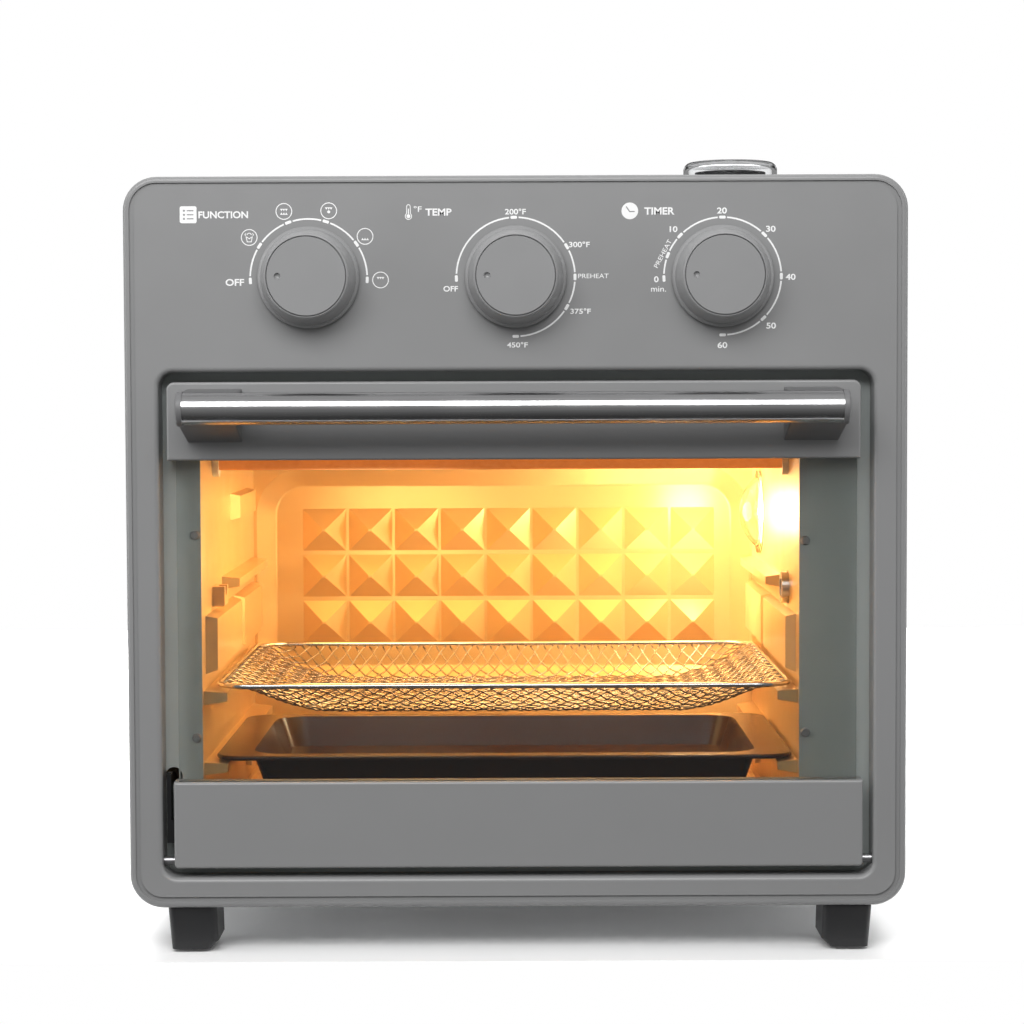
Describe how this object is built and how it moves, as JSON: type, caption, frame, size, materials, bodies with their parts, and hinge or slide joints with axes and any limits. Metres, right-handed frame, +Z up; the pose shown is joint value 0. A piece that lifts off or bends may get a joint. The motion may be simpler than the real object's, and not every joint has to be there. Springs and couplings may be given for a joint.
{
  "type": "rotisserie oven",
  "caption": "Countertop rotisserie and convection oven with a drop-down glass door, three dials, wire basket, tray, heaters and fan.",
  "frame": {"origin": "on the surface the oven stands on, under the middle of its overall box", "axes": "+X to the user's right when facing the door, +Y towards the back, +Z up"},
  "size_m": [0.372, 0.3397, 0.3855],
  "materials": {
    "grey_paint": "satin",
    "bracket_paint": "satin",
    "knob_paint": "satin",
    "brushed_handle": "brushed",
    "door_glass": "clear",
    "cavity_enamel": "satin coating",
    "coated_sheet": "satin",
    "galvanised_sheet": "galvanised",
    "motor_steel": "machined",
    "dark_steel": "blackened",
    "zinc_screw": "zinc plated",
    "heater_sheath": "oxidised",
    "ceramic": "glazed ceramic",
    "lamp_glass": "clear",
    "switch_plastic": "phenolic",
    "chrome_wire": "polished",
    "tray_coating": "non-stick",
    "clear_plastic": "clear plastic",
    "black_plastic": "moulded",
    "black_rubber": "matt"
  },
  "bodies": {
    "housing": {"front_bezel": "grey_paint", "outer_casing": "grey_paint", "rear_panel": "grey_paint", "base_panel": "galvanised_sheet", "feet": "black_plastic", "foot_pads": "black_rubber", "cord_gland": "black_plastic", "rear_screws": "zinc_screw", "cavity_front_frame": "coated_sheet", "frame_screws": "zinc_screw", "cavity_left_wall": "cavity_enamel", "cavity_right_wall": "cavity_enamel", "cavity_rear_wall": "cavity_enamel", "cavity_ceiling": "cavity_enamel", "cavity_floor": "cavity_enamel", "crumb_tray": "cavity_enamel", "upper_heaters": "heater_sheath", "lower_heaters": "heater_sheath", "heater_insulators": "ceramic", "fan_guard": "cavity_enamel", "fan_housing": "galvanised_sheet", "fan_motor": "motor_steel", "lamp_holder": "ceramic", "lamp_bulb": "lamp_glass", "lamp_lens": "lamp_glass", "function_switch": "switch_plastic", "thermostat": "switch_plastic", "timer_unit": "switch_plastic", "hinge_brackets": "galvanised_sheet", "vent_port": "black_plastic", "spit_motor": "motor_steel", "spit_rest": "motor_steel"},
    "door": {"door_top_band": "grey_paint", "door_bottom_band": "grey_paint", "door_glass": "door_glass", "handle_bar": "brushed_handle", "handle_bracket_left": "bracket_paint", "handle_bracket_right": "bracket_paint", "handle_screws": "zinc_screw", "door_hinge_blocks": "motor_steel", "hinge_pins": "motor_steel", "door_stay": "dark_steel"},
    "function_dial": {"function_knob": "knob_paint", "function_knob_face": "knob_paint", "function_shaft": "motor_steel"},
    "temperature_dial": {"temperature_knob": "knob_paint", "temperature_knob_face": "knob_paint", "temperature_shaft": "motor_steel"},
    "timer_dial": {"timer_knob": "knob_paint", "timer_knob_face": "knob_paint", "timer_shaft": "motor_steel"},
    "basket": {"basket_rim": "chrome_wire", "basket_mesh": "chrome_wire"},
    "tray": {"bake_tray": "tray_coating"},
    "cap": {"vent_cap": "clear_plastic"},
    "fan": {"fan_wheel": "galvanised_sheet", "fan_shaft": "motor_steel", "cooling_fan": "galvanised_sheet"},
    "spit_drive": {"spit_socket": "motor_steel"}
  },
  "joints": [
    {"name": "door_hinge", "type": "hinge", "parent": "housing", "child": "door", "pos_m": [0, -0.13215, 0.0443], "axis": [1, 0, 0], "range_deg": [0, 90], "stiffness_Nm_per_rad": 0.6, "springref_deg": -20.05},
    {"name": "function_dial_turn", "type": "hinge", "parent": "housing", "child": "function_dial", "pos_m": [-0.098, -0.13815, 0.3233], "axis": [0, 1, 0], "range_deg": [0, 180]},
    {"name": "temperature_dial_turn", "type": "hinge", "parent": "housing", "child": "temperature_dial", "pos_m": [0, -0.13815, 0.3233], "axis": [0, 1, 0], "range_deg": [0, 270]},
    {"name": "timer_dial_turn", "type": "hinge", "parent": "housing", "child": "timer_dial", "pos_m": [0.098, -0.13815, 0.3233], "axis": [0, 1, 0], "range_deg": [0, 270]},
    {"name": "basket_slide", "type": "slide", "parent": "housing", "child": "basket", "axis": [0, -1, 0], "range_m": [0, 0.12]},
    {"name": "tray_slide", "type": "slide", "parent": "housing", "child": "tray", "axis": [0, -1, 0], "range_m": [0, 0.072]},
    {"name": "vent_cap_lift", "type": "slide", "parent": "housing", "child": "cap", "axis": [0, 0, 1], "range_m": [0, 0.03]},
    {"name": "fan_spin", "type": "hinge", "parent": "housing", "child": "fan", "pos_m": [-0.008, 0.00185, 0.2643], "axis": [0, 0, 1], "continuous": true},
    {"name": "spit_drive_spin", "type": "hinge", "parent": "housing", "child": "spit_drive", "pos_m": [0.14, -0.07115, 0.1703], "axis": [1, 0, 0], "continuous": true}
  ],
  "couplings": [
    {"joint": "basket_slide", "follows": "door_hinge", "m_per_rad": 0.075},
    {"joint": "tray_slide", "follows": "door_hinge", "m_per_rad": 0.045}
  ]
}
